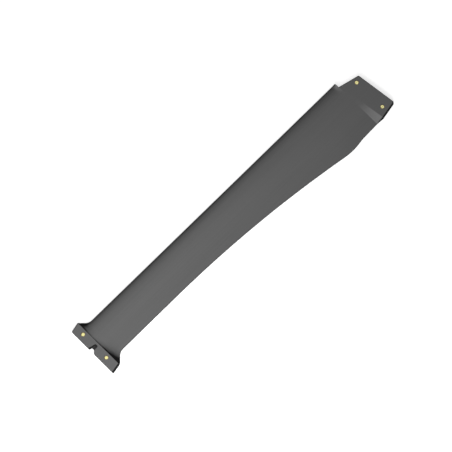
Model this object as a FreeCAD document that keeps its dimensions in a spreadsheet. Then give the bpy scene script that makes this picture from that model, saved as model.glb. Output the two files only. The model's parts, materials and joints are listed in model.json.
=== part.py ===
import FreeCAD, Part
import Sketcher
import math
import os

# A one-piece moulded hydrofoil mast with four brass barrel nuts.
# X runs along the mast, from the seating face of the foot to the head.
# Y points to the leading edge and Z through the thickness, so the mast lies on its broad side.
# The origin lies on the foot's seating face, midway between its screws, in the mid-plane.

DOCUMENT = FreeCAD.newDocument("hydrofoil_mast")
SHEET = DOCUMENT.addObject("Spreadsheet::Sheet", "sizes")

SIZES = [
    ("foot_length", 144.2, "length of the foot's seating face"),
    ("foot_centre", -5.7, "middle of the seating face, from the middle of its screws"),
    ("foot_height", 25.0, "depth of the foot's full thickness along the mast"),
    ("foot_thickness", 20.0, "thickness of the foot"),
    ("foot_front_rake", 11.5, "forward lean of the foot's front end, degrees"),
    ("foot_rear_rake", 10.0, "forward lean of the foot's rear end, degrees"),
    ("notch_front", 7.2, "distance of the notch's front edge from the axis, at the seating face"),
    ("notch_rear", 6.7, "distance of the notch's rear wall from the axis"),
    ("notch_flare", 5.5, "reach of the notch's widening at the rear of its mouth"),
    ("notch_depth", 19.6, "depth of the notch in the foot's faces"),
    ("notch_wall_angle", 15.0, "lean of the notch's front wall, degrees"),
    ("notch_corner", 3.8, "radius of the notch's inner corners"),
    ("notch_through", 7.0, "depth to which the notch goes through the foot"),
    ("notch_web", 3.0, "thickness of the web between the notch's deeper parts"),
    ("end_radius", 3.0, "radius along the ends of the foot and the head"),
    ("face_edge", 1.0, "radius round the seating face and the top of the head"),
    ("cove_height", 15.5, "height of the hollow fairing over the foot"),
    ("flare_radius", 23.0, "plan radius between a flare and the blade's edge"),
    ("front_flare", 20.0, "reach of the front flare at the foot"),
    ("rear_flare", 24.0, "reach of the rear flare at the foot"),
    ("blade_thickness", 18.0, "greatest thickness of the blade and the head"),
    ("leading_edge", 53.4, "distance of the leading edge from the mast's axis"),
    ("trailing_edge", 52.4, "distance of the lower trailing edge from the axis"),
    ("crest_share", 0.34, "place of the greatest thickness, as a share of the chord"),
    ("tail_thickness", 2.0, "thickness of the trailing edge"),
    ("tail_bevel", 0.7, "bevel on the trailing edge's corners"),
    ("sweep_drop", 645.0, "how far under the shoulder the trailing edge starts to sweep back"),
    ("crown_drop", 115.0, "how far under the shoulder the sweep rounds over"),
    ("crown_slope", 0.169, "slope of the trailing edge where it rounds over"),
    ("heel_drop", 62.0, "how far under the shoulder the rounding turns to the head"),
    ("heel_slope", -0.18, "slope of the trailing edge there"),
    ("straight_drop", 48.0, "length of the straight edge under the shoulder"),
    ("straight_slope", -0.03, "slope of that straight edge"),
    ("shoulder_height", 890.0, "length from the seating face to the shoulder"),
    ("shoulder_corner", 5.0, "plan radius of the shoulder's front corner"),
    ("shoulder_swell", 14.0, "length over which the nose fills out to the shoulder"),
    ("head_front", 39.6, "distance of the head's front end from the axis, at the shoulder"),
    ("head_front_rake", 14.2, "lean of the head's front end, degrees"),
    ("head_rear_rake", 10.6, "lean of the head's rear end, degrees"),
    ("head_depth", 58.2, "height of the head on the axis, over the shoulder"),
    ("head_top_slope", 6.5, "slope of the head's top, degrees"),
    ("head_corner", 3.4, "plan radius of the head's top rear corner"),
    ("ramp_height", 8.9, "height of the ramp's upper line on the axis, over the shoulder"),
    ("ramp_slope", 7.3, "slope of the ramp's upper line in plan, degrees"),
    ("nut_diameter", 10.0, "diameter of a barrel nut"),
    ("nut_length", 16.4, "length of a barrel nut"),
    ("nut_clearance", 0.1, "gap round a barrel nut"),
    ("nut_chamfer", 0.5, "bevel on a barrel nut's ends"),
    ("nut_slot_width", 1.4, "width of the slot in a barrel nut's ends"),
    ("nut_slot_depth", 1.2, "depth of that slot"),
    ("thread_size", 6.0, "nominal diameter of the thread in a barrel nut"),
    ("screw_bore", 6.6, "diameter of a screw's way in"),
    ("screw_reach", 8.0, "length of the bore beyond a nut"),
    ("foot_screw_spacing", 82.0, "distance between the foot's screws"),
    ("foot_nut_height", 14.5, "height of the foot's nuts over the seating face"),
    ("head_screw_spacing", 88.9, "distance between the head's screws"),
    ("head_screw_centre", -29.1, "middle of the head's screws"),
    ("head_nut_depth", 19.2, "depth of the head's nuts under its top on the axis"),
    ("head_rise", 10.0, "allowance for the slope of the head's top, past which its cutters run"),
    ("overrun", 1.0, "length by which a cutter runs past a face"),
]

FOOT_NUT_X = "sizes.foot_nut_height"
HEAD_NUT_X = "(sizes.shoulder_height + sizes.head_depth - sizes.head_nut_depth)"
NUT_PLACES = {
    "foot_nut_front": (FOOT_NUT_X, "(sizes.foot_screw_spacing / 2)"),
    "foot_nut_rear": (FOOT_NUT_X, "(-sizes.foot_screw_spacing / 2)"),
    "head_nut_front": (HEAD_NUT_X, "(sizes.head_screw_centre + sizes.head_screw_spacing / 2)"),
    "head_nut_rear": (HEAD_NUT_X, "(sizes.head_screw_centre - sizes.head_screw_spacing / 2)"),
}

CIRCLE_HANDLE = 4.0 * (math.sqrt(2.0) - 1.0) / 3.0
NOSE_SPLITS = (0.0, 0.55, 0.85, 1.0)
COVE_TURN = math.radians(13.0)
FLARE_STATIONS = 8
CORNER_STATIONS = 4
EDGE_STATIONS = 3
CROSSING_ROUNDS = 20
TOLERANCE = 1e-6
START = 1
END = 2
CENTRE = 3
ORIGIN = -1
VERTICAL_AXIS = -2


def fill_sheet():
    """Write each size to its own named cell."""
    for row, (alias, size, note) in enumerate(SIZES, start=1):
        SHEET.set(f"A{row}", note)
        SHEET.set(f"B{row}", str(size))
        SHEET.setAlias(f"B{row}", alias)
    DOCUMENT.recompute()


def size(alias):
    """The number in a named cell."""
    return float(SHEET.get(alias))


def tangent(alias):
    """The tangent of an angle in a named cell."""
    return math.tan(math.radians(size(alias)))


# Plan outline of the mast


def foot_front(x):
    """Front end of the foot, carried on at its rake."""
    return size("foot_centre") + size("foot_length") / 2 + x * tangent("foot_front_rake")


def foot_rear(x):
    """Rear end of the foot, carried on at its rake."""
    return size("foot_centre") - size("foot_length") / 2 + x * tangent("foot_rear_rake")


def flare(x, reach):
    """Widening of the blade near the foot: a line at 45 degrees, rounded into the blade's edge."""
    radius = size("flare_radius")
    line = reach - (x - size("foot_height"))
    half_turn = radius * math.tan(math.pi / 8)
    if line >= half_turn * math.sin(math.pi / 4):
        return line
    left = line + half_turn
    if left <= 0:
        return 0.0
    return radius - math.sqrt(radius**2 - left**2)


def under_shoulder(drop):
    """Place along the mast at a named distance under the shoulder."""
    return size("shoulder_height") - size(drop)


def leading_edge(x):
    """Distance of the leading edge from the axis, with the flare at the foot."""
    return min(foot_front(x), size("leading_edge") + flare(x, size("front_flare")))


def trailing_edge(x):
    """Place of the trailing edge: its slope changes evenly between a few stations."""
    knots = [
        (under_shoulder("sweep_drop"), 0.0),
        (under_shoulder("crown_drop"), size("crown_slope")),
        (under_shoulder("heel_drop"), size("heel_slope")),
        (under_shoulder("straight_drop"), size("straight_slope")),
        (size("shoulder_height"), size("straight_slope")),
    ]
    spread = flare(x, size("rear_flare"))
    out = size("trailing_edge") + spread
    for (start, first), (end, last) in zip(knots, knots[1:]):
        span = min(max(x - start, 0.0), end - start)
        out += first * span + (last - first) * span**2 / (2 * (end - start))
    return max(foot_rear(x), -out) if spread > 0 else -out


# Cross sections: a foil at fullness 0 and a rounded rectangle at fullness 1


def blend(first, last, share):
    """Points between two lists of points."""
    return [(a + (c - a) * share, b + (d - b) * share) for (a, b), (c, d) in zip(first, last)]


def straight(start, end):
    """Poles of a straight line, as a cubic curve."""
    return [blend([start], [end], third / 3)[0] for third in range(4)]


def rounding(start, corner, end):
    """Poles of a quarter turn from start to end round a corner."""
    near = blend([start, end], [corner, corner], CIRCLE_HANDLE)
    return [start, near[0], near[1], end]


def split(poles):
    """The curve's stretches between the nose's splits."""
    stretches = []
    for start, end in zip(NOSE_SPLITS, NOSE_SPLITS[1:]):
        curve = Part.BezierCurve()
        curve.setPoles([FreeCAD.Vector(a, b, 0) for a, b in poles])
        curve.segment(start, end)
        stretches.append([(pole.x, pole.y) for pole in curve.getPoles()])
    return stretches


def crest_place(lead, trail):
    """Where a section is thickest."""
    return lead - size("crest_share") * (lead - trail)


def half_outline(lead, trail, crest, half, front_fullness, rear_fullness):
    """Curves of a section's upper half, from the trailing edge to the nose, as (y, z) poles."""
    edge = size("tail_thickness") / 2
    small = size("tail_bevel")
    large = size("end_radius")

    foil_end = (trail + small, edge)
    third = (crest - foil_end[0]) / 3
    foil_tail = [foil_end, (crest - 2 * third, (half + edge) / 2), (crest - third, half), (crest, half)]
    foil_corner = straight((trail, edge - small), foil_end)
    foil_nose = split(rounding((crest, half), (lead, half), (lead, 0.0)))

    box_rear = (trail + large, half)
    box_front = (lead - large, half)
    box_tail = straight(box_rear, (crest, half))
    box_corner = rounding((trail, half - large), (trail, half), box_rear)
    box_nose = [
        straight((crest, half), box_front),
        rounding(box_front, (lead, half), (lead, half - large)),
        straight((lead, half - large), (lead, 0.0)),
    ]

    rear = [blend(foil_corner, box_corner, rear_fullness), blend(foil_tail, box_tail, rear_fullness)]
    front = [blend(foil, box, front_fullness) for foil, box in zip(foil_nose, box_nose)]
    return rear + front


def section(name, x, ends, crest, half, fullness, slope=0.0):
    """A closed cross section at x, in a plane that leans by the slope as it goes to the rear.

    The ends are the leading and the trailing one, and the fullness is that of the front and the rear.
    """

    def place(y, z):
        return FreeCAD.Vector(x - slope * y, y, z)

    upper = half_outline(*ends, crest, half, *fullness)
    lower = [[(y, -z) for y, z in reversed(poles)] for poles in reversed(upper)]
    first = upper[0][0]
    wall = straight((first[0], -first[1]), first)
    edges = []
    for poles in upper + lower + [wall]:
        curve = Part.BezierCurve()
        curve.setPoles([place(y, z) for y, z in poles])
        edges.append(curve.toShape())
    feature = DOCUMENT.addObject("Part::Feature", name)
    feature.Shape = Part.Wire(edges)
    return feature


def loft(name, sections, ruled):
    """A solid through the given sections."""
    solid = DOCUMENT.addObject("Part::Loft", name)
    solid.Sections = sections
    solid.Solid = True
    solid.Ruled = ruled
    return solid


# Stretches of the mast


def edge_round(depth, radius):
    """How far a rounded edge has drawn in at a depth under its end face."""
    left = min(max(radius - depth, 0.0), radius)
    return radius - math.sqrt(radius**2 - left**2)


def evenly(start, end, count):
    """Places from start to end, without the start."""
    return [start + (end - start) * step / count for step in range(1, count + 1)]


def foot_section(name, x, inset=0.0):
    """A rounded rectangle across the foot, drawn in by the inset."""
    ends = (foot_front(x) - inset, foot_rear(x) + inset)
    half = size("foot_thickness") / 2 - inset
    return section(name, x, ends, crest_place(*ends), half, (1.0, 1.0))


def make_foot():
    """The foot's block between its seating face and the fairing."""
    edge = size("face_edge")
    rounds = []
    for step in range(EDGE_STATIONS + 1):
        x = edge * (1 - math.cos(math.pi / 2 * step / EDGE_STATIONS))
        rounds.append(foot_section(f"foot_edge_{step}", x, edge_round(x, edge)))
    block_top = foot_section("foot_top", size("foot_height"))
    return [loft("foot_edge", rounds, True), loft("foot_block", [rounds[-1], block_top], True)]


def cove_fullness(x):
    """Share of the foot's form left at x: a quarter ellipse, upright at the foot and level with the blade."""
    left = (size("foot_height") + size("cove_height") - x) / size("cove_height")
    return 1 - math.sqrt(1 - min(max(left, 0.0), 1.0) ** 2)


def blade_section(name, x, nose_fullness=0.0):
    """A section of the blade, or of the fairing that joins it to the foot."""
    share = cove_fullness(x)
    half = (size("blade_thickness") + (size("foot_thickness") - size("blade_thickness")) * share) / 2
    ends = (leading_edge(x), trailing_edge(x))
    return section(name, x, ends, crest_place(*ends), half, (share + nose_fullness, share))


def fairing_stations():
    """Where the cove's steepest stretch ends and where the foot's ends turn into the flares, from the lowest up."""
    foot = size("foot_height")
    steep = foot + size("cove_height") * (1 - math.cos(COVE_TURN))
    front = size("leading_edge") + size("front_flare") - foot_front(foot)
    rear = size("trailing_edge") + size("rear_flare") + foot_rear(foot)
    rises = [front / (1 + tangent("foot_front_rake")), rear / (1 - tangent("foot_rear_rake"))]
    return sorted([steep] + [foot + rise for rise in rises if rise > TOLERANCE])


def flare_end():
    """Where the longer flare has run out into the blade."""
    reach = max(size("front_flare"), size("rear_flare"))
    return size("foot_height") + reach + size("flare_radius") * math.tan(math.pi / 8)


def make_fairing():
    """The hollow fairing over the foot, with a flare at each end."""
    stations = fairing_stations()
    sections = [blade_section("fairing_start", size("foot_height"))]
    for number, x in enumerate(stations, start=1):
        sections.append(blade_section(f"fairing_{number}", x))
    curved = [sections[-1]]
    for number, x in enumerate(evenly(stations[-1], flare_end(), FLARE_STATIONS), start=1):
        curved.append(blade_section(f"flare_{number}", x))
    return [loft("fairing", sections, True), loft("flares", curved, False)]


def make_blade():
    """The blade: even at first, then swept at the rear and rounded over into the head."""
    stretches = [
        ("lower_blade", under_shoulder("sweep_drop"), False),
        ("sweep", under_shoulder("crown_drop"), True),
        ("crown", under_shoulder("heel_drop"), True),
        ("heel", under_shoulder("straight_drop"), True),
        ("upper_blade", under_shoulder("shoulder_swell"), False),
    ]
    solids = []
    start = flare_end()
    first = blade_section("lower_blade_start", start)
    for name, end, curved in stretches:
        last = blade_section(f"{name}_end", end)
        middle = [blade_section(f"{name}_middle", (start + end) / 2)] if curved else []
        solids.append(loft(name, [first] + middle + [last], not curved))
        start, first = end, last
    return solids


def make_shoulder():
    """The last stretch of the blade, where the nose fills out to the face that stops against the box."""
    start = under_shoulder("shoulder_swell")
    top = size("shoulder_height")
    sections = [blade_section("swell_start", start)]
    for name, x in (("swell_middle", (start + top) / 2), ("swell_end", top)):
        sections.append(blade_section(name, x, ((x - start) / (top - start)) ** 2))
    return [loft("shoulder", sections, False)]


def make_corner_cutter():
    """Cutter for the round front corner of the shoulder."""
    block = DOCUMENT.addObject("Part::Box", "shoulder_corner_block")
    for length in ("Length", "Width"):
        block.setExpression(length, "sizes.shoulder_corner + sizes.overrun")
    block.setExpression("Height", "sizes.blade_thickness + 2 * sizes.overrun")
    low = "-(sizes.blade_thickness / 2 + sizes.overrun)"
    x = "sizes.shoulder_height - sizes.shoulder_corner"
    y = "sizes.leading_edge - sizes.shoulder_corner"
    for axis, place in zip("xyz", (x, y, low)):
        block.setExpression(f"Placement.Base.{axis}", place)
    length = "sizes.blade_thickness + 4 * sizes.overrun"
    low = "-(sizes.blade_thickness / 2 + 2 * sizes.overrun)"
    core = make_bore("shoulder_corner_core", "sizes.shoulder_corner", length, (x, y, low))
    cutter = DOCUMENT.addObject("Part::Cut", "shoulder_corner")
    cutter.Base = block
    cutter.Tool = core
    return cutter


# The head


def head_front(x):
    """Front end of the head."""
    return size("head_front") - (x - size("shoulder_height")) * tangent("head_front_rake")


def ramp_line(y):
    """Place along the mast of the ramp's upper line."""
    return size("shoulder_height") + size("ramp_height") - y * tangent("ramp_slope")


def head_rear(x):
    """Rear end of the head: upright beside the ramp, then leaning in."""
    trail = trailing_edge(size("shoulder_height"))
    rise = max(x - ramp_line(trail), 0.0)
    return trail + rise * tangent("head_rear_rake")


def crossing(edge, x, slope):
    """Where a leaning plane through x on the axis meets an end of the head."""
    y = edge(x)
    for _ in range(CROSSING_ROUNDS):
        y = edge(x - slope * y)
    return y


def head_section(name, height, slope, fullness=(1.0, 1.0), rear_inset=0.0, inset=0.0):
    """A section of the head in a leaning plane, at a height over the shoulder, drawn in by the insets."""
    shoulder = size("shoulder_height")
    x = shoulder + height
    front = crossing(head_front, x, slope) - inset
    rear = crossing(head_rear, x, slope) + rear_inset + inset
    crest = crest_place(leading_edge(shoulder), trailing_edge(shoulder))
    return section(name, x, (front, rear), crest, size("blade_thickness") / 2 - inset, fullness, slope)


def make_head():
    """The tapered head over the ramp, with its rounded top."""
    start = head_section("ramp_start", 0.0, 0.0, (1.0, 0.0))
    ramp_end = head_section("ramp_end", size("ramp_height"), tangent("ramp_slope"))

    slope = tangent("head_top_slope")
    top = size("head_depth")
    large = size("head_corner")
    edge = size("face_edge")
    rounds = [head_section("head_round_0", top - large, slope)]
    for number, depth in enumerate(evenly(large, edge, CORNER_STATIONS), start=1):
        rear_inset = edge_round(depth, large)
        rounds.append(head_section(f"head_round_{number}", top - depth, slope, rear_inset=rear_inset))
    edges = [rounds[-1]]
    for step in range(1, EDGE_STATIONS + 1):
        depth = edge * (1 - math.sin(math.pi / 2 * step / EDGE_STATIONS))
        inset = edge_round(depth, edge)
        rear_inset = edge_round(depth, large) - inset
        name = f"head_edge_{step}"
        edges.append(head_section(name, top - depth, slope, rear_inset=rear_inset, inset=inset))
    return [
        loft("ramp", [start, ramp_end], True),
        loft("head_block", [ramp_end, rounds[0]], True),
        loft("head_corner", rounds, False),
        loft("head_edge", edges, True),
    ]


# Hollows in the moulding


def notch_sketch():
    """Outline of the keying notch: a leaning front wall, a round end and a mouth that widens to the rear."""
    sketch = DOCUMENT.addObject("Sketcher::SketchObject", "notch_outline")
    front = size("notch_front")
    rear = size("notch_rear")
    flare_reach = size("notch_flare")
    depth = size("notch_depth")
    radius = size("notch_corner")
    lean = math.radians(size("notch_wall_angle"))
    up = FreeCAD.Vector(0, 0, 1)
    arc_x = depth - radius
    arc_y = front - arc_x * math.tan(lean) - radius / math.cos(lean)

    def line(start, end):
        points = [FreeCAD.Vector(x, y, 0) for x, y in (start, end)]
        return sketch.addGeometry(Part.LineSegment(*points))

    def arc(centre, first, last):
        circle = Part.Circle(FreeCAD.Vector(*centre, 0), up, radius)
        return sketch.addGeometry(Part.ArcOfCircle(circle, first, last))

    touch = (arc_x + radius * math.sin(lean), arc_y + radius * math.cos(lean))
    front_wall = line(touch, (0, front))
    front_corner = arc((arc_x, arc_y), 0.0, math.pi / 2 - lean)
    roof = line((depth, arc_y), (depth, radius - rear))
    rear_corner = arc((arc_x, radius - rear), -math.pi / 2, 0.0)
    rear_wall = line((flare_reach, -rear), (arc_x, -rear))
    widening = line((0, -rear - flare_reach), (flare_reach, -rear))
    mouth = line((0, -rear - flare_reach), (0, front))

    def constrain(*terms, bound=None):
        number = sketch.addConstraint(Sketcher.Constraint(*terms))
        if bound:
            sketch.setExpression(f"Constraints[{number}]", bound)

    constrain("Tangent", front_wall, START, front_corner, END)
    constrain("Tangent", front_corner, START, roof, START)
    constrain("Tangent", roof, END, rear_corner, END)
    constrain("Tangent", rear_corner, START, rear_wall, END)
    constrain("Coincident", rear_wall, START, widening, END)
    constrain("Coincident", widening, START, mouth, START)
    constrain("Coincident", mouth, END, front_wall, END)
    constrain("PointOnObject", mouth, START, VERTICAL_AXIS)
    constrain("PointOnObject", mouth, END, VERTICAL_AXIS)
    constrain("Vertical", roof)
    constrain("Horizontal", rear_wall)
    constrain("Equal", front_corner, rear_corner)
    constrain("Radius", front_corner, radius, bound="sizes.notch_corner")
    constrain("DistanceX", ORIGIN, START, roof, START, depth, bound="sizes.notch_depth")
    constrain("DistanceY", ORIGIN, START, mouth, END, front, bound="sizes.notch_front")
    constrain("DistanceY", rear_wall, START, ORIGIN, START, rear, bound="sizes.notch_rear")
    constrain("DistanceX", widening, START, widening, END, flare_reach, bound="sizes.notch_flare")
    constrain("DistanceY", widening, START, widening, END, flare_reach, bound="sizes.notch_flare")
    constrain("Angle", front_wall, math.pi - lean, bound="180 - sizes.notch_wall_angle")
    return sketch


def make_notch():
    """Cutter for the keying notch: through the foot at its mouth, and a recess in each face beyond."""
    outline = DOCUMENT.addObject("Part::Extrusion", "notch_block")
    outline.Base = notch_sketch()
    outline.DirMode = "Normal"
    outline.Solid = True
    outline.Symmetric = True
    outline.setExpression("LengthFwd", "sizes.foot_thickness + 2 * sizes.overrun")

    web = DOCUMENT.addObject("Part::Box", "notch_web")
    web.setExpression("Length", "sizes.notch_depth + sizes.overrun - sizes.notch_through")
    web.setExpression("Width", "sizes.notch_front + sizes.notch_rear + 2 * sizes.overrun")
    web.setExpression("Height", "sizes.notch_web")
    places = ("sizes.notch_through", "-(sizes.notch_rear + sizes.overrun)", "-sizes.notch_web / 2")
    for axis, place in zip("xyz", places):
        web.setExpression(f"Placement.Base.{axis}", place)

    cutter = DOCUMENT.addObject("Part::Cut", "notch")
    cutter.Base = outline
    cutter.Tool = web
    return cutter


def make_bore(name, radius, length, places, along_mast=False):
    """A round cutter; places holds the expressions of its start point."""
    bore = DOCUMENT.addObject("Part::Cylinder", name)
    bore.setExpression("Radius", radius)
    bore.setExpression("Height", length)
    if along_mast:
        bore.Placement.Rotation = FreeCAD.Rotation(FreeCAD.Vector(0, 1, 0), 90)
    for axis, place in zip("xyz", places):
        bore.setExpression(f"Placement.Base.{axis}", place)
    return bore


def make_bores():
    """The cross holes for the nuts and the ways in for the screws."""
    cutters = []
    across = "sizes.nut_diameter / 2 + sizes.nut_clearance"
    through = "sizes.foot_thickness + 2 * sizes.overrun"
    low = "-(sizes.foot_thickness / 2 + sizes.overrun)"
    reach = "sizes.nut_diameter / 2 + sizes.screw_reach"
    way_in = "sizes.screw_bore / 2"
    for name, (x, y) in NUT_PLACES.items():
        cutters.append(make_bore(f"{name}_hole", across, through, (x, y, low)))
        if name.startswith("foot"):
            start, length = "-sizes.overrun", f"{x} + {reach} + sizes.overrun"
        else:
            start = f"{x} - ({reach})"
            length = f"sizes.head_nut_depth + {reach} + sizes.head_rise"
        cutters.append(make_bore(f"{name}_screw_way", way_in, length, (start, y, "0"), along_mast=True))
    return cutters


def make_mast():
    """The moulding: all its stretches in one solid, less the hollows."""
    stretches = make_foot() + make_fairing() + make_blade() + make_shoulder() + make_head()
    moulding = DOCUMENT.addObject("Part::MultiFuse", "moulding")
    moulding.Shapes = stretches
    moulding.Refine = True
    hollows = DOCUMENT.addObject("Part::MultiFuse", "hollows")
    hollows.Shapes = [make_notch(), make_corner_cutter()] + make_bores()
    mast = DOCUMENT.addObject("Part::Cut", "mast")
    mast.Base = moulding
    mast.Tool = hollows
    return mast


# Barrel nuts


def plane(body, role):
    """One of a body's own origin planes."""
    return next(feature for feature in body.Origin.OriginFeatures if feature.Role == role)


def attached_sketch(body, name, role):
    """A sketch on one of the body's origin planes."""
    sketch = body.newObject("Sketcher::SketchObject", name)
    sketch.AttachmentSupport = [(plane(body, role), "")]
    sketch.MapMode = "FlatFace"
    return sketch


def circle_sketch(body, name, role, diameter):
    """A circle round the body's origin, with its diameter from a named cell."""
    sketch = attached_sketch(body, name, role)
    radius = size(diameter) / 2
    circle = sketch.addGeometry(Part.Circle(FreeCAD.Vector(), FreeCAD.Vector(0, 0, 1), radius))
    sketch.addConstraint(Sketcher.Constraint("Coincident", circle, CENTRE, ORIGIN, START))
    number = sketch.addConstraint(Sketcher.Constraint("Radius", circle, radius))
    sketch.setExpression(f"Constraints[{number}]", f"sizes.{diameter} / 2")
    return sketch


def make_nut(name, places):
    """A brass barrel nut: a slotted cylinder across the mast, with a threaded hole along it."""
    body = DOCUMENT.addObject("PartDesign::Body", name)
    outline = circle_sketch(body, f"{name}_outline", "XY_Plane", "nut_diameter")
    barrel = body.newObject("PartDesign::Pad", f"{name}_barrel")
    barrel.Profile = outline
    barrel.Midplane = True
    barrel.setExpression("Length", "sizes.nut_length")

    thread = circle_sketch(body, f"{name}_thread_outline", "YZ_Plane", "thread_size")
    hole = body.newObject("PartDesign::Pocket", f"{name}_thread")
    hole.Profile = thread
    hole.Midplane = True
    hole.setExpression("Length", "2 * sizes.nut_diameter")
    DOCUMENT.recompute()

    rims = [f"Edge{number}" for number, edge in enumerate(hole.Shape.Edges, start=1) if is_rim(edge)]
    bevel = body.newObject("PartDesign::Chamfer", f"{name}_bevel")
    bevel.Base = (hole, rims)
    bevel.setExpression("Size", "sizes.nut_chamfer")
    DOCUMENT.recompute()

    for side, reversed_cut in (("upper", False), ("lower", True)):
        slot = slot_sketch(body, f"{name}_{side}_slot_outline", reversed_cut)
        cut = body.newObject("PartDesign::Pocket", f"{name}_{side}_slot")
        cut.Profile = slot
        cut.Reversed = reversed_cut
        cut.setExpression("Length", "sizes.nut_slot_depth")
        DOCUMENT.recompute()
    for axis, place in zip("xyz", places):
        body.setExpression(f"Placement.Base.{axis}", place)
    return body


def is_rim(edge):
    """True for the round edge of a nut's end."""
    level = abs(edge.BoundBox.ZMin) - size("nut_length") / 2
    return edge.BoundBox.ZLength < TOLERANCE and abs(level) < TOLERANCE


def slot_sketch(body, name, below):
    """The long rectangle of a screwdriver slot, on one end of a nut."""
    sketch = attached_sketch(body, name, "XY_Plane")
    sign = "-" if below else ""
    sketch.setExpression("AttachmentOffset.Base.z", f"{sign}sizes.nut_length / 2")
    reach = size("nut_diameter") / 2
    half = size("nut_slot_width") / 2
    corners = [(-reach, -half), (reach, -half), (reach, half), (-reach, half)]
    points = [FreeCAD.Vector(a, b, 0) for a, b in corners]
    sides = [sketch.addGeometry(Part.LineSegment(points[k], points[(k + 1) % 4])) for k in range(4)]
    for k in range(4):
        sketch.addConstraint(Sketcher.Constraint("Coincident", sides[k], END, sides[(k + 1) % 4], START))
    for k in range(0, 4, 2):
        sketch.addConstraint(Sketcher.Constraint("Horizontal", sides[k]))
        sketch.addConstraint(Sketcher.Constraint("Vertical", sides[k + 1]))
    sketch.addConstraint(Sketcher.Constraint("Symmetric", sides[0], START, sides[1], END, ORIGIN, START))
    length = sketch.addConstraint(Sketcher.Constraint("DistanceX", sides[0], START, sides[0], END, 2 * reach))
    width = sketch.addConstraint(Sketcher.Constraint("DistanceY", sides[1], START, sides[1], END, 2 * half))
    sketch.setExpression(f"Constraints[{length}]", "sizes.nut_diameter")
    sketch.setExpression(f"Constraints[{width}]", "sizes.nut_slot_width")
    return sketch


def check_objects():
    """Stop if any object of the document failed."""
    for thing in DOCUMENT.Objects:
        if {"Invalid", "Error"} & set(thing.State):
            raise RuntimeError(f"{thing.Name} failed: {thing.State}")


def write(subpart):
    """Write a sub-part's solid to its own file."""
    shape = subpart.Shape
    if shape.isNull() or not shape.isValid() or len(shape.Solids) != 1:
        raise RuntimeError(f"{subpart.Label} is not one valid solid")
    shape.exportStep(f"parts/{subpart.Label}.step")
    print(f"{subpart.Label}: {shape.Volume:.0f} cubic mm, {len(shape.Faces)} faces, {shape.BoundBox}")


def main():
    """Build the document, check it and write the sub-parts."""
    fill_sheet()
    subparts = [make_mast()]
    for name, (x, y) in NUT_PLACES.items():
        subparts.append(make_nut(name, (x, y, "0")))
    DOCUMENT.recompute()
    check_objects()
    os.makedirs("parts", exist_ok=True)
    for subpart in subparts:
        write(subpart)


main()
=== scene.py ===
"""Studio scene for a moulded carbon hydrofoil mast with four brass barrel nuts.

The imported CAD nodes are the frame. The scene gives them their finishes, lays them on a pale floor
and sets a camera at the photograph's angle. X runs from the foot to the head, Y points to the
leading edge and Z goes up through the thickness, in metres.
"""

import json
import logging
import math
from dataclasses import dataclass
from enum import Enum

import bpy
from mathutils import Matrix, Vector

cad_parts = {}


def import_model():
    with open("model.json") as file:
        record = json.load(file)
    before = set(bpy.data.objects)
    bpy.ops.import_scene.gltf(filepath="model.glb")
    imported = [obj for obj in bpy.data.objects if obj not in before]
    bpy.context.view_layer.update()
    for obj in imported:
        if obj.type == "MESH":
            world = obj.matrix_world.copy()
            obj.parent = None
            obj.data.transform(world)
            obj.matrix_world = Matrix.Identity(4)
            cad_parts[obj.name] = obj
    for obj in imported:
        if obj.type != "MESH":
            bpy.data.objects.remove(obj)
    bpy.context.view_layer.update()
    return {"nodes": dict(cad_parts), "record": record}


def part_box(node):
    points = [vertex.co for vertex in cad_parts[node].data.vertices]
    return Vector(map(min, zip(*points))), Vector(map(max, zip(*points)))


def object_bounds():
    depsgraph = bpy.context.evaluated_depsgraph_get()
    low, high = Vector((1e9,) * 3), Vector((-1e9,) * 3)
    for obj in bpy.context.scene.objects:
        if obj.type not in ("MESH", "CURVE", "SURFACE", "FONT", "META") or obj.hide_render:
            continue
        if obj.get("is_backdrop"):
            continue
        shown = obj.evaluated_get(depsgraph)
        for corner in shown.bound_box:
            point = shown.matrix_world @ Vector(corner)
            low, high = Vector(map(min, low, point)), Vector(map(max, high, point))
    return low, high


LOG = logging.getLogger("mast")
MM = 0.001

# The sRGB curve: a straight line up to the knee, and a power above it.
SRGB_KNEE = 0.04045
SRGB_SLOPE = 12.92
SRGB_OFFSET = 0.055
SRGB_POWER = 2.4

# A Mix node repeats its socket names for each data type, so its colour sockets go by their places.
MIX_FACTOR = 0
MIX_FIRST = 6
MIX_SECOND = 7
MIX_RESULT = 2

Rgba = tuple[float, float, float, float]
Point = tuple[float, float, float]


class Slot(Enum):
    """The record's material slots."""

    CARBON = "carbon"
    BRASS = "brass"


def linear(hex_colour: str) -> Rgba:
    """Turn an sRGB hex colour into linear RGBA.

    Args:
        hex_colour: six hex digits with a leading hash.

    Returns:
        Linear red, green, blue and an alpha of one.
    """
    channels = [int(hex_colour[start : start + 2], 16) / 255 for start in (1, 3, 5)]
    red, green, blue = (
        c / SRGB_SLOPE if c <= SRGB_KNEE else ((c + SRGB_OFFSET) / (1 + SRGB_OFFSET)) ** SRGB_POWER
        for c in channels
    )
    return red, green, blue, 1.0


def add_node(
    tree: bpy.types.NodeTree, kind: str, settings: dict | None = None, links: dict | None = None
) -> bpy.types.Node:
    """Add a shader node with its settings and links.

    Args:
        tree: the node tree that takes the node.
        kind: the node's type name.
        settings: values of the node's properties and input sockets, by name or a socket's place.
        links: output sockets that feed the node's inputs, by the input's name or place.

    Returns:
        The new node.
    """
    node = tree.nodes.new(kind)
    for name, value in (settings or {}).items():
        if isinstance(name, str) and hasattr(node, name):
            setattr(node, name, value)
        else:
            node.inputs[name].default_value = value
    for name, socket in (links or {}).items():
        tree.links.new(socket, node.inputs[name])
    return node


def blank_material(name: str) -> bpy.types.Material:
    """Make a material with an empty node tree.

    Args:
        name: the material's name.

    Returns:
        The material.
    """
    material = bpy.data.materials.new(name)
    material.use_nodes = True
    material.node_tree.nodes.clear()
    return material


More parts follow.
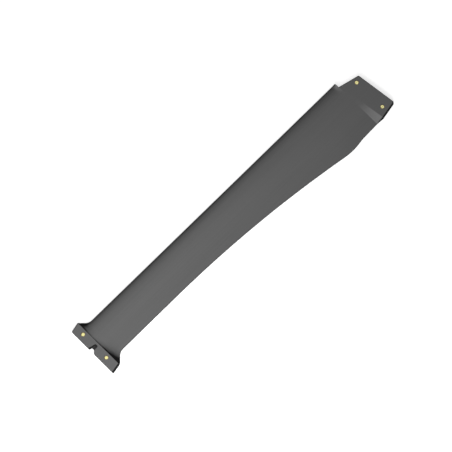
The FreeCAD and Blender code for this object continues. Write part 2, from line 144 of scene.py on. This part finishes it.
@dataclass(frozen=True)
class SatinLacqueredCarbonLaminate:
    """Moulded carbon laminate under a sprayed grey lacquer: satin broad sides with no clear weave.

    The colour carries painted light from over the foot. Painted shade darkens it to near black on
    slopes that turn to the nose, the tail or the head, on the side walls and in the notch's recess,
    and a painted highlight makes it paler on slopes that face the foot. Where the painted shade
    lies, the surface is also rough and matt.
    """

    light_tow: str = "#626262"
    dark_tow: str = "#5b5b5b"
    # Paler grey: a painted highlight on slopes that face the foot.
    painted_highlight_grey: str = "#7a7a7a"
    # Near black: painted shade on steep slopes, side walls and the notch's recess.
    painted_shade_black: str = "#0c0c0c"
    # Painted highlight: the colour grows paler between these two tilts towards the foot.
    highlight_from_deg: float = 6.0
    full_highlight_at_deg: float = 22.0
    # Painted shade: the colour darkens to near black between these two tilts.
    shade_from_deg: float = 5.0
    full_shade_at_deg: float = 43.0
    # Painted shade comes on faster for a tilt towards the head, which counts this many times.
    head_tilt_shade_weight: float = 2.2
    # Painted shade darkens the recess in the foot's notch, which lies within these distances of
    #  the seating face and of the mid-plane.
    recess_unshaded_share: float = 0.4
    recess_reach_mm: float = 20.0
    recess_half_mm: float = 5.0
    roughness: float = 0.45
    roughness_in_painted_shade: float = 0.95
    ior: float = 1.5
    specular_level: float = 0.15
    # Tows are about 3 mm wide, and their shade drifts over a quarter of the mast's length.
    tow_width_mm: float = 3.0
    tow_length_mm: float = 240.0
    tow_detail: float = 3.0
    # Real spray leaves a finer grain. This one is coarser, so that a near view shows it.
    grit_mm: float = 0.6
    grit_depth_mm: float = 0.012
    grit_detail: float = 2.0
    grit_strength: float = 0.15

    def build(self) -> bpy.types.Material:
        """Make the material: faint tows along the mast under the coat, the lacquer's grain, and
        painted shade and highlight.

        Returns:
            The material.
        """
        material = blank_material("satin_lacquered_carbon_laminate")
        tree = material.node_tree
        coordinates = add_node(tree, "ShaderNodeTexCoord").outputs
        place = coordinates["Object"]
        turn = add_node(tree, "ShaderNodeSeparateXYZ", {}, {"Vector": coordinates["Normal"]})
        tone_and_highlight = self.tone_and_highlight_colour(tree, place, turn.outputs["X"])
        on_slopes = self.unshaded_on_slopes(tree, turn.outputs["X"], turn.outputs["Y"])
        in_recess = self.unshaded_in_recess(tree, place)
        # Painted shade: the colour goes to near black as this share falls, on slopes and in the
        # recess.
        unshaded_share = add_node(
            tree, "ShaderNodeMath", {"operation": "MULTIPLY"}, {0: on_slopes, 1: in_recess}
        ).outputs[0]
        colour = add_node(
            tree, "ShaderNodeMix",
            {"data_type": "RGBA", MIX_FIRST: linear(self.painted_shade_black)},
            {MIX_FACTOR: unshaded_share, MIX_SECOND: tone_and_highlight},
        )
        rough = add_node(
            tree, "ShaderNodeMapRange",
            {"To Min": self.roughness_in_painted_shade, "To Max": self.roughness}, {"Value": unshaded_share},
        )
        grit = add_node(
            tree, "ShaderNodeTexNoise",
            {"Scale": 1 / (self.grit_mm * MM), "Detail": self.grit_detail}, {"Vector": place},
        )
        bump = add_node(
            tree, "ShaderNodeBump",
            {"Strength": self.grit_strength, "Distance": self.grit_depth_mm * MM},
            {"Height": grit.outputs["Fac"]},
        )
        surface = add_node(
            tree, "ShaderNodeBsdfPrincipled",
            {"IOR": self.ior, "Specular IOR Level": self.specular_level},
            {
                "Base Color": colour.outputs[MIX_RESULT],
                "Roughness": rough.outputs[0],
                "Normal": bump.outputs[0],
            },
        )
        add_node(tree, "ShaderNodeOutputMaterial", {}, {"Surface": surface.outputs[0]})
        return material

    def tone_and_highlight_colour(
        self, tree: bpy.types.NodeTree, place: bpy.types.NodeSocket, along: bpy.types.NodeSocket
    ) -> bpy.types.NodeSocket:
        """Colour the coat: streaks from the tows below, and a painted highlight, paler on slopes
        that face the foot.

        Args:
            tree: the node tree that takes the nodes.
            place: the point on the mast.
            along: how far the surface turns to the head, or to the foot where it is negative.

        Returns:
            The socket with the colour.
        """
        across_tows = 1 / (self.tow_width_mm * MM)
        tow_scale = (1 / (self.tow_length_mm * MM), across_tows, across_tows)
        stretch = add_node(tree, "ShaderNodeMapping", {"Scale": tow_scale}, {"Vector": place})
        tows = add_node(
            tree, "ShaderNodeTexNoise",
            {"Scale": 1.0, "Detail": self.tow_detail}, {"Vector": stretch.outputs[0]},
        )
        shades = {MIX_FIRST: linear(self.dark_tow), MIX_SECOND: linear(self.light_tow)}
        streaks = add_node(
            tree, "ShaderNodeMix",
            {"data_type": "RGBA", **shades}, {MIX_FACTOR: tows.outputs["Fac"]},
        )
        # Painted highlight: paler grey where the surface tilts towards the foot.
        highlight_tilts = {
            "From Min": -math.sin(math.radians(self.highlight_from_deg)),
            "From Max": -math.sin(math.radians(self.full_highlight_at_deg)),
        }
        highlight_mask = add_node(tree, "ShaderNodeMapRange", highlight_tilts, {"Value": along})
        tone_and_highlight = add_node(
            tree, "ShaderNodeMix",
            {"data_type": "RGBA", MIX_SECOND: linear(self.painted_highlight_grey)},
            {MIX_FACTOR: highlight_mask.outputs[0], MIX_FIRST: streaks.outputs[MIX_RESULT]},
        )
        return tone_and_highlight.outputs[MIX_RESULT]

    def unshaded_on_slopes(
        self, tree: bpy.types.NodeTree, along: bpy.types.NodeSocket, across: bpy.types.NodeSocket
    ) -> bpy.types.NodeSocket:
        """Work out the painted shade on a slope: one keeps the coat's colour when level, none is
        near black when steep.

        A tilt towards the head counts times the head-tilt weight. One towards the foot counts only
        by its
         square, because the painted light comes from that side.

        Args:
            tree: the node tree that takes the nodes.
            along: how far the surface turns to the head, or to the foot where it is negative.
            across: how far it turns to the nose, or to the tail where it is negative.

        Returns:
            The socket with the share left unshaded.
        """
        head_tilt_shade = add_node(
            tree, "ShaderNodeMath", {"operation": "MULTIPLY", 1: self.head_tilt_shade_weight}, {0: along}
        )
        foot_tilt_shade = add_node(
            tree, "ShaderNodeMath", {"operation": "MULTIPLY"}, {0: along, 1: along}
        )
        lengthwise = add_node(
            tree, "ShaderNodeMath", {"operation": "MAXIMUM"},
            {0: head_tilt_shade.outputs[0], 1: foot_tilt_shade.outputs[0]},
        )
        tilt = add_node(
            tree, "ShaderNodeCombineXYZ", {}, {"X": lengthwise.outputs[0], "Y": across}
        )
        steepness = add_node(
            tree, "ShaderNodeVectorMath", {"operation": "LENGTH"}, {0: tilt.outputs[0]}
        )
        slope = add_node(
            tree, "ShaderNodeMath", {"operation": "ARCSINE"}, {0: steepness.outputs["Value"]}
        )
        # Painted shade: near black past the steeper tilt.
        shade_ramp = {
            "From Min": math.radians(self.shade_from_deg),
            "From Max": math.radians(self.full_shade_at_deg),
            "To Min": 1.0,
            "To Max": 0.0,
        }
        unshaded_share = add_node(tree, "ShaderNodeMapRange", shade_ramp, {"Value": slope.outputs[0]})
        return unshaded_share.outputs[0]

    def unshaded_in_recess(
        self, tree: bpy.types.NodeTree, place: bpy.types.NodeSocket
    ) -> bpy.types.NodeSocket:
        """Paint shade into the recess of the foot's notch by lowering the unshaded share, and keep
        it at one elsewhere.

        Args:
            tree: the node tree that takes the nodes.
            place: the point on the mast.

        Returns:
            The socket with the share left unshaded.
        """
        spot = add_node(tree, "ShaderNodeSeparateXYZ", {}, {"Vector": place})
        height = add_node(
            tree, "ShaderNodeMath", {"operation": "ABSOLUTE"}, {0: spot.outputs["Z"]}
        )
        near_mid_plane = add_node(
            tree, "ShaderNodeMath",
            {"operation": "LESS_THAN", 1: self.recess_half_mm * MM}, {0: height.outputs[0]},
        )
        near_seat = add_node(
            tree, "ShaderNodeMath",
            {"operation": "LESS_THAN", 1: self.recess_reach_mm * MM}, {0: spot.outputs["X"]},
        )
        recess = add_node(
            tree, "ShaderNodeMath", {"operation": "MULTIPLY"},
            {0: near_mid_plane.outputs[0], 1: near_seat.outputs[0]},
        )
        # Painted shade: the recess keeps only part of the coat's colour.
        unshaded_share = add_node(
            tree, "ShaderNodeMapRange",
            {"To Min": 1.0, "To Max": self.recess_unshaded_share}, {"Value": recess.outputs[0]},
        )
        return unshaded_share.outputs[0]


@dataclass(frozen=True)
class TurnedBrass:
    """Brass from the lathe: pale yellow ends with the tool's rings, turning darker amber towards
    the rim.
    """

    bright: str = "#e0dc9e"
    rim_amber: str = "#a8691c"
    roughness: float = 0.36
    # The colour turns darker amber between these two distances from the nut's axis.
    rim_amber_from_mm: float = 3.6
    rim_amber_to_mm: float = 4.8
    # Real rings stand about 0.1 mm apart. These are coarser, so that a near view shows them.
    ring_pitch_mm: float = 0.6
    ring_depth_mm: float = 0.02
    ring_strength: float = 0.3

    def build(self, node: str) -> bpy.types.Material:
        """Make the material round one nut's own axis.

        Args:
            node: the nut's name.

        Returns:
            The material.
        """
        material = blank_material(f"turned_brass_{node}")
        tree = material.node_tree
        radius = self.radius(tree, node)
        rim_blend = add_node(
            tree, "ShaderNodeMapRange",
            {"From Min": self.rim_amber_from_mm * MM, "From Max": self.rim_amber_to_mm * MM},
            {"Value": radius},
        )
        shades = {MIX_FIRST: linear(self.bright), MIX_SECOND: linear(self.rim_amber)}
        colour = add_node(
            tree, "ShaderNodeMix", {"data_type": "RGBA", **shades}, {MIX_FACTOR: rim_blend.outputs[0]}
        )
        turns = {"operation": "MULTIPLY", 1: 2 * math.pi / (self.ring_pitch_mm * MM)}
        phase = add_node(tree, "ShaderNodeMath", turns, {0: radius})
        rings = add_node(tree, "ShaderNodeMath", {"operation": "SINE"}, {0: phase.outputs[0]})
        bump = add_node(
            tree, "ShaderNodeBump",
            {"Strength": self.ring_strength, "Distance": self.ring_depth_mm * MM},
            {"Height": rings.outputs[0]},
        )
        surface = add_node(
            tree, "ShaderNodeBsdfPrincipled", {"Metallic": 1.0, "Roughness": self.roughness},
            {"Base Color": colour.outputs[MIX_RESULT], "Normal": bump.outputs[0]},
        )
        add_node(tree, "ShaderNodeOutputMaterial", {}, {"Surface": surface.outputs[0]})
        return material

    def radius(self, tree: bpy.types.NodeTree, node: str) -> bpy.types.NodeSocket:
        """Measure how far a point lies from a nut's axis, which stands along Z.

        Args:
            tree: the node tree that takes the nodes.
            node: the nut's name.

        Returns:
            The socket with the distance in metres.
        """
        low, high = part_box(node)
        axis = ((low[0] + high[0]) / 2, (low[1] + high[1]) / 2, 0.0)
        without_height = (1.0, 1.0, 0.0)
        place = add_node(tree, "ShaderNodeTexCoord").outputs["Object"]
        offset = add_node(
            tree, "ShaderNodeVectorMath", {"operation": "SUBTRACT", 1: axis}, {0: place}
        )
        flat = add_node(
            tree, "ShaderNodeVectorMath",
            {"operation": "MULTIPLY", 1: without_height}, {0: offset.outputs[0]},
        )
        distance = add_node(
            tree, "ShaderNodeVectorMath", {"operation": "LENGTH"}, {0: flat.outputs[0]}
        )
        return distance.outputs["Value"]


@dataclass(frozen=True)
class SoftBox:
    """A soft lamp that hangs level and shines down, in metres and watts."""

    name: str
    centre: Point
    length: float
    width: float
    power: float

    def build(self) -> None:
        """Make the lamp and hang it."""
        lamp = bpy.data.lights.new(self.name, "AREA")
        lamp.shape = "RECTANGLE"
        lamp.size = self.length
        lamp.size_y = self.width
        lamp.energy = self.power
        box = bpy.data.objects.new(self.name, lamp)
        box.location = self.centre
        bpy.context.scene.collection.objects.link(box)


@dataclass
class Studio:
    """Pale floor, even pale surroundings and two soft boxes above the mast."""

    floor_size: float = 40.0
    floor_colour: str = "#f2f2f2"
    floor_glow: float = 0.6
    # The floor lies just clear of the mast, so that the two faces are never in one plane.
    floor_gap_mm: float = 0.1
    world_light: float = 0.25
    # A large box at the tail's side of the foot gives the light, and a strip over the mast shows
    # in the nuts.
    large_box: SoftBox = SoftBox("large_box", (-0.5, -1.2, 1.0), 2.0, 2.0, 45.0)
    strip_box: SoftBox = SoftBox("strip_box", (0.6, 0.3, 1.15), 1.6, 0.32, 3.2)

    def build(self) -> None:
        """Make the floor, the world and the lamps."""
        self.build_floor()
        self.build_world()
        for box in (self.large_box, self.strip_box):
            box.build()

    def build_floor(self) -> None:
        """Lay the floor under the lowest point of the mast."""
        low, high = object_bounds()
        half = self.floor_size / 2
        centre = (Vector(low) + Vector(high)) / 2
        level = low[2] - self.floor_gap_mm * MM
        corners = [
            (centre.x + a * half, centre.y + b * half, level)
            for a, b in ((-1, -1), (1, -1), (1, 1), (-1, 1))
        ]
        mesh = bpy.data.meshes.new("floor")
        mesh.from_pydata(corners, [], [(0, 1, 2, 3)])
        mesh.materials.append(self.pale_paper())
        floor = bpy.data.objects.new("floor", mesh)
        bpy.context.scene.collection.objects.link(floor)
        floor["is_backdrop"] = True

    def pale_paper(self) -> bpy.types.Material:
        """Make the floor's matt paper, with a glow that keeps it nearly white in the picture.

        Returns:
            The material.
        """
        material = blank_material("pale_paper")
        tree = material.node_tree
        paper = add_node(tree, "ShaderNodeBsdfDiffuse", {"Color": linear(self.floor_colour)})
        glow = add_node(tree, "ShaderNodeEmission", {}, {"Strength": self.seen_glow(tree)})
        both = add_node(
            tree, "ShaderNodeAddShader", {}, {0: paper.outputs[0], 1: glow.outputs[0]}
        )
        add_node(tree, "ShaderNodeOutputMaterial", {}, {"Surface": both.outputs[0]})
        return material

    def seen_glow(self, tree: bpy.types.NodeTree) -> bpy.types.NodeSocket:
        """Show the floor's glow to camera, glossy and transmission rays, and to no other kind.

        Args:
            tree: the node tree that takes the nodes.

        Returns:
            The socket with the glow's strength.
        """
        path = add_node(tree, "ShaderNodeLightPath")
        shiny = add_node(
            tree, "ShaderNodeMath", {"operation": "MAXIMUM"},
            {0: path.outputs["Is Glossy Ray"], 1: path.outputs["Is Transmission Ray"]},
        )
        shown = add_node(
            tree, "ShaderNodeMath", {"operation": "MAXIMUM"},
            {0: path.outputs["Is Camera Ray"], 1: shiny.outputs[0]},
        )
        glow = add_node(
            tree, "ShaderNodeMapRange",
            {"To Min": 0.0, "To Max": self.floor_glow}, {"Value": shown.outputs[0]},
        )
        return glow.outputs[0]

    def build_world(self) -> None:
        """Make the surroundings an even pale grey, for every kind of ray."""
        world = bpy.data.worlds.new("studio")
        world.use_nodes = True
        tree = world.node_tree
        tree.nodes.clear()
        sky = add_node(tree, "ShaderNodeBackground", {"Strength": self.world_light})
        add_node(tree, "ShaderNodeOutputWorld", {}, {"Surface": sky.outputs[0]})
        bpy.context.scene.world = world


@dataclass
class PhotoCamera:
    """Camera that lays the mast over its outline in the photograph, running up to the right."""

    eye: Point = (-0.51226, -1.86657, 7.60871)
    target: Point = (0.44933, -0.01176, 0.0)
    right: Point = (0.71104, -0.69854, -0.08042)
    lens_mm: float = 257.4
    sensor_mm: float = 36.0
    clip_end: float = 100.0

    def build(self) -> None:
        """Make the camera and give it to the scene."""
        data = bpy.data.cameras.new("photo_camera")
        data.sensor_fit = "HORIZONTAL"
        data.sensor_width = self.sensor_mm
        data.lens = self.lens_mm
        data.clip_end = self.clip_end
        camera = bpy.data.objects.new("photo_camera", data)
        back = (Vector(self.eye) - Vector(self.target)).normalized()
        right = Vector(self.right)
        right = (right - back * right.dot(back)).normalized()
        up = back.cross(right)
        turn = Matrix((right, up, back)).transposed().to_4x4()
        camera.matrix_world = Matrix.Translation(self.eye) @ turn
        bpy.context.scene.collection.objects.link(camera)
        bpy.context.scene.camera = camera


def dress(node: bpy.types.Object, material: bpy.types.Material) -> None:
    """Give a CAD node its finish.

    Args:
        node: the CAD node.
        material: the finish for all its faces.
    """
    for place in node.material_slots:
        place.material = material
    LOG.info("%s: %s, %d faces", node.name, material.name, len(node.data.polygons))


def main() -> None:
    """Build the scene in order: frame, finishes, studio and camera."""
    logging.basicConfig(level=logging.INFO, format="%(message)s")
    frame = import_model()
    bpy.context.scene.view_settings.view_transform = "Standard"
    laminate = SatinLacqueredCarbonLaminate().build()
    brass = TurnedBrass()
    for subpart in frame["record"]["subparts"]:
        node = subpart["node"]
        is_carbon = Slot(subpart["material_slot"]) is Slot.CARBON
        dress(frame["nodes"][node], laminate if is_carbon else brass.build(node))
    Studio().build()
    PhotoCamera().build()


if __name__ == "__main__":
    main()
